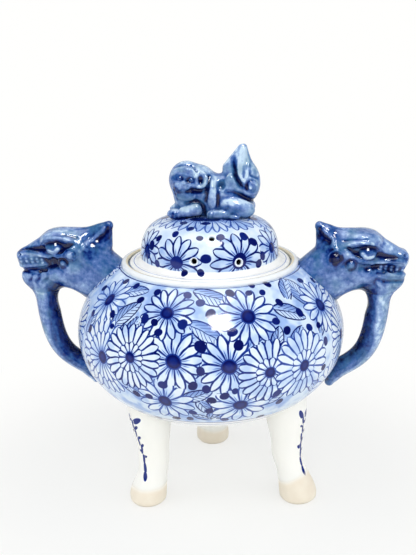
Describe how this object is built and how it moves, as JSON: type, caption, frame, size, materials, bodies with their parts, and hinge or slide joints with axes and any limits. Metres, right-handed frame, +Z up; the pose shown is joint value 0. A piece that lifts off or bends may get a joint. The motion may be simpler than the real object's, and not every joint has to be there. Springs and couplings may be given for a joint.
{
  "type": "porcelain tripod incense burner",
  "caption": "Oval blue-and-white porcelain incense burner on tripod legs, with dragon-head handles and a pierced domed lid with a lion knob.",
  "frame": {"origin": "on the table plane, under the bowl's axis", "axes": "+Z up along the bowl's axis; X through both handles, with the lion's tail towards +X; the front faces -Y"},
  "size_m": [0.1746, 0.12, 0.1592],
  "materials": {
    "painted_porcelain": "clear glaze over cobalt-blue painting",
    "white_porcelain": "clear glaze",
    "leg_porcelain": "clear glaze, bare at the toes",
    "cobalt_porcelain": "cobalt-blue wash under a clear glaze",
    "bisque": "bare fired clay"
  },
  "bodies": {
    "pot": {"bowl": "painted_porcelain", "rim_collar": "white_porcelain", "leg_front_left": "leg_porcelain", "leg_front_right": "leg_porcelain", "leg_rear": "leg_porcelain", "dragon_head_left": "cobalt_porcelain", "dragon_head_right": "cobalt_porcelain", "handle_strap_left": "cobalt_porcelain", "handle_strap_right": "cobalt_porcelain"},
    "lid": {"lid_dome": "painted_porcelain", "lid_seat_ring": "bisque", "lion_knob": "cobalt_porcelain"}
  },
  "joints": [
    {"name": "lid_lift", "type": "slide", "parent": "pot", "child": "lid", "axis": [0, 0, 1], "range_m": [0, 0.06]}
  ]
}
